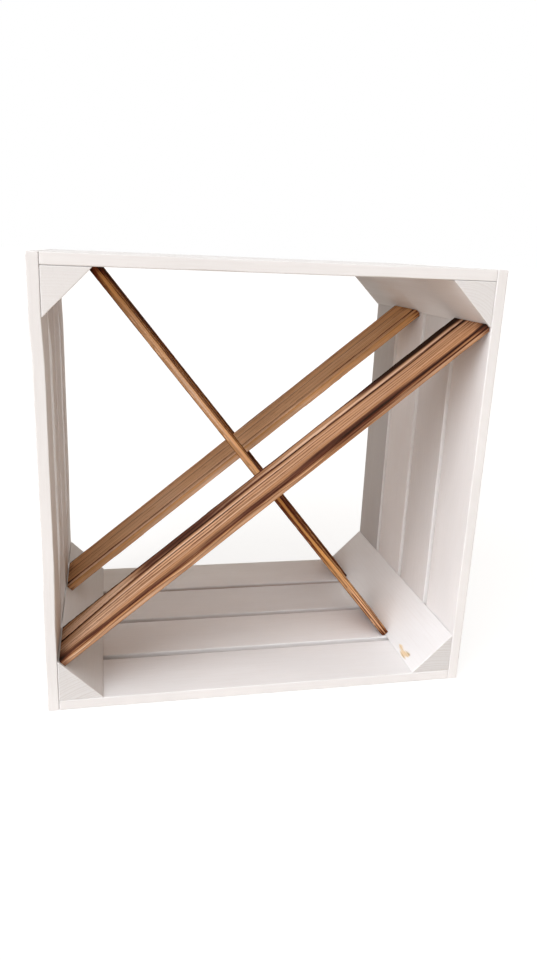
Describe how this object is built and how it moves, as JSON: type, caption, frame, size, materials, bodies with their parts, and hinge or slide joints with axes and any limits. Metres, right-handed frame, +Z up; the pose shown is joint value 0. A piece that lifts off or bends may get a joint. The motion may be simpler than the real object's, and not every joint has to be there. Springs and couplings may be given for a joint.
{
  "type": "wine crate",
  "caption": "Slatted wooden wine crate lying on its side with open front and back, white-painted boards on corner posts, and a cross of flamed slats that parts it into bottle compartments",
  "frame": {"origin": "the middle of the underside, where the crate stands on its bottom boards and side boards", "axes": "+Z up, -Y out of the open front towards the viewer, +X to the right as seen from the front"},
  "size_m": [0.41, 0.3, 0.41],
  "materials": {
    "white_paint": "softwood under a thin matt white paint, warm tint, with the growth rings faintly showing",
    "flamed_pine": "flamed and brushed softwood, tan to brown with black charred grain and edges, satin",
    "zinc_wire": "drawn zinc-plated wire"
  },
  "bodies": {
    "root": {"top_board_1": "white_paint", "top_board_2": "white_paint", "top_board_3": "white_paint", "top_board_4": "white_paint", "right_board_1": "white_paint", "right_board_2": "white_paint", "right_board_3": "white_paint", "right_board_4": "white_paint", "bottom_board_1": "white_paint", "bottom_board_2": "white_paint", "bottom_board_3": "white_paint", "bottom_board_4": "white_paint", "left_board_1": "white_paint", "left_board_2": "white_paint", "left_board_3": "white_paint", "left_board_4": "white_paint", "post_top_left": "white_paint", "post_top_right": "white_paint", "post_bottom_right": "white_paint", "post_bottom_left": "white_paint", "rising_slat_front": "flamed_pine", "falling_slat_front": "flamed_pine", "rising_slat_rear": "flamed_pine", "falling_slat_rear": "flamed_pine", "staple_top_1_left": "zinc_wire", "staple_top_1_right": "zinc_wire", "staple_top_2_left": "zinc_wire", "staple_top_2_right": "zinc_wire", "staple_top_3_left": "zinc_wire", "staple_top_3_right": "zinc_wire", "staple_top_4_left": "zinc_wire", "staple_top_4_right": "zinc_wire", "staple_right_1_upper": "zinc_wire", "staple_right_1_lower": "zinc_wire", "staple_right_2_upper": "zinc_wire", "staple_right_2_lower": "zinc_wire", "staple_right_3_upper": "zinc_wire", "staple_right_3_lower": "zinc_wire", "staple_right_4_upper": "zinc_wire", "staple_right_4_lower": "zinc_wire", "staple_bottom_1_left": "zinc_wire", "staple_bottom_1_right": "zinc_wire", "staple_bottom_2_left": "zinc_wire", "staple_bottom_2_right": "zinc_wire", "staple_bottom_3_left": "zinc_wire", "staple_bottom_3_right": "zinc_wire", "staple_bottom_4_left": "zinc_wire", "staple_bottom_4_right": "zinc_wire", "staple_left_1_upper": "zinc_wire", "staple_left_1_lower": "zinc_wire", "staple_left_2_upper": "zinc_wire", "staple_left_2_lower": "zinc_wire", "staple_left_3_upper": "zinc_wire", "staple_left_3_lower": "zinc_wire", "staple_left_4_upper": "zinc_wire", "staple_left_4_lower": "zinc_wire"}
  },
  "joints": []
}
